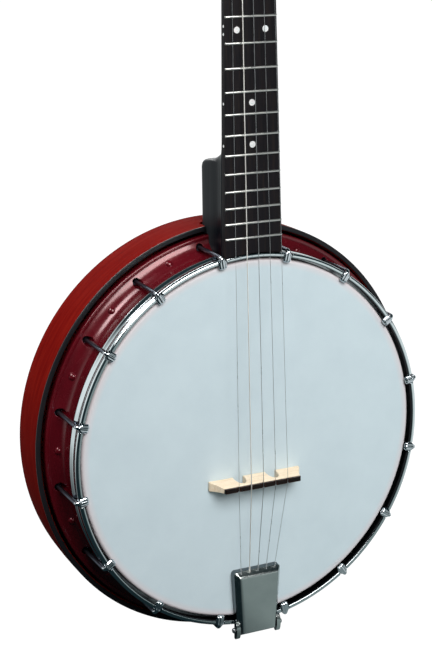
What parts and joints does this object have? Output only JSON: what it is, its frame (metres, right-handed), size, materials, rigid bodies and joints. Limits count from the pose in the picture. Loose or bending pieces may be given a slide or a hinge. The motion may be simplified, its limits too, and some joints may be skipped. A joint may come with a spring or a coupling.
{
  "type": "banjo",
  "caption": "Stringed instrument with a round drum-headed cast pot, a wooden resonator, a long fretted neck, geared tuning pegs and a hinged tailpiece.",
  "frame": {"origin": "centre of the flat on the resonator's back, on its outer face", "axes": "+Z along the neck towards the peghead, +Y out of the resonator's back, -Y out of the drum head, +X towards the treble side"},
  "size_m": [0.32, 0.1072, 0.9605],
  "materials": {
    "cast_red": "gloss",
    "drum_skin": "frosted coating",
    "steel": "plain",
    "chrome": "polished",
    "resonator_red": "satin red stain on mahogany",
    "binding_black": "semi-gloss",
    "neck_black": "satin black lacquer",
    "board_dark": "oiled dark hardwood",
    "bone": "polished",
    "cover_black": "gloss",
    "pearl": "pearloid button on a chromed peg",
    "maple": "bare maple",
    "ebony": "polished"
  },
  "bodies": {
    "resonator": {"resonator": "resonator_red", "resonator_binding": "binding_black", "resonator_screw_1": "chrome", "resonator_screw_2": "chrome", "resonator_screw_3": "chrome", "resonator_screw_4": "chrome"},
    "banjo_frame": {"pot": "cast_red", "drum_head": "drum_skin", "flesh_hoop": "steel", "tension_hoop": "chrome", "bracket_hook_01": "chrome", "bracket_hook_02": "chrome", "bracket_hook_03": "chrome", "bracket_hook_04": "chrome", "bracket_hook_05": "chrome", "bracket_hook_06": "chrome", "bracket_hook_07": "chrome", "bracket_hook_08": "chrome", "bracket_hook_09": "chrome", "bracket_hook_10": "chrome", "bracket_hook_11": "chrome", "bracket_hook_12": "chrome", "bracket_hook_13": "chrome", "bracket_hook_14": "chrome", "bracket_hook_15": "chrome", "bracket_hook_16": "chrome", "coordinator_rod": "steel", "tail_nut": "steel", "neck": "neck_black", "fingerboard": "board_dark", "string_nut": "bone", "fifth_string_nut": "bone", "truss_rod": "steel", "truss_rod_cover": "cover_black", "tuner_housing_fourth": "chrome", "tuner_housing_third": "chrome", "tuner_housing_second": "chrome", "tuner_housing_first": "chrome", "fifth_peg_base": "chrome", "tailpiece_base": "chrome", "tailpiece_pin": "steel", "string_1": "steel", "string_2": "steel", "string_3": "steel", "string_4": "steel", "string_5": "steel"},
    "bridge": {"bridge": "maple", "bridge_cap": "ebony"},
    "tailpiece_cover": {"tailpiece_cover": "chrome"},
    "fifth_peg": {"fifth_peg": "pearl"},
    "tuner_button_fourth": {"tuner_button_fourth": "chrome"},
    "tuner_post_fourth": {"tuner_post_fourth": "chrome"},
    "tuner_button_third": {"tuner_button_third": "chrome"},
    "tuner_post_third": {"tuner_post_third": "chrome"},
    "tuner_button_second": {"tuner_button_second": "chrome"},
    "tuner_post_second": {"tuner_post_second": "chrome"},
    "tuner_button_first": {"tuner_button_first": "chrome"},
    "tuner_post_first": {"tuner_post_first": "chrome"}
  },
  "joints": [
    {"name": "resonator_lift_off", "type": "slide", "parent": "resonator", "child": "banjo_frame", "axis": [0, -1, 0], "range_m": [0, 0.1]},
    {"name": "tailpiece_cover_hinge", "type": "hinge", "parent": "banjo_frame", "child": "tailpiece_cover", "pos_m": [0.0012, -0.0955, -0.1475], "axis": [1, 0, 0], "range_deg": [0, 75]},
    {"name": "bridge_shift", "type": "slide", "parent": "banjo_frame", "child": "bridge", "axis": [0, 0, 1], "range_m": [-0.003, 0.003]},
    {"name": "tuner_fourth_button", "type": "hinge", "parent": "banjo_frame", "child": "tuner_button_fourth", "pos_m": [-0.0107, -0.03948, 0.67656], "axis": [-1, 0, 0], "continuous": true},
    {"name": "tuner_fourth_post", "type": "hinge", "parent": "banjo_frame", "child": "tuner_post_fourth", "pos_m": [-0.0107, -0.03781, 0.68263], "axis": [0, 0.9645, -0.264], "continuous": true},
    {"name": "tuner_third_button", "type": "hinge", "parent": "banjo_frame", "child": "tuner_button_third", "pos_m": [-0.0127, -0.02522, 0.72864], "axis": [-1, 0, 0], "continuous": true},
    {"name": "tuner_third_post", "type": "hinge", "parent": "banjo_frame", "child": "tuner_post_third", "pos_m": [-0.0127, -0.02355, 0.73472], "axis": [0, 0.9645, -0.264], "continuous": true},
    {"name": "tuner_second_button", "type": "hinge", "parent": "banjo_frame", "child": "tuner_button_second", "pos_m": [0.0213, -0.02189, 0.74079], "axis": [1, 0, 0], "continuous": true},
    {"name": "tuner_second_post", "type": "hinge", "parent": "banjo_frame", "child": "tuner_post_second", "pos_m": [0.0213, -0.02355, 0.73472], "axis": [0, 0.9645, -0.264], "continuous": true},
    {"name": "tuner_first_button", "type": "hinge", "parent": "banjo_frame", "child": "tuner_button_first", "pos_m": [0.0193, -0.03615, 0.68871], "axis": [1, 0, 0], "continuous": true},
    {"name": "tuner_first_post", "type": "hinge", "parent": "banjo_frame", "child": "tuner_post_first", "pos_m": [0.0193, -0.03781, 0.68263], "axis": [0, 0.9645, -0.264], "continuous": true},
    {"name": "fifth_peg_turn", "type": "hinge", "parent": "banjo_frame", "child": "fifth_peg", "pos_m": [-0.0181, -0.07064, 0.48433], "axis": [-1, 0, 0], "continuous": true}
  ],
  "couplings": [
    {"joint": "tuner_fourth_post", "follows": "tuner_fourth_button", "ratio": 0.071429},
    {"joint": "tuner_third_post", "follows": "tuner_third_button", "ratio": 0.071429},
    {"joint": "tuner_second_post", "follows": "tuner_second_button", "ratio": 0.071429},
    {"joint": "tuner_first_post", "follows": "tuner_first_button", "ratio": 0.071429}
  ]
}
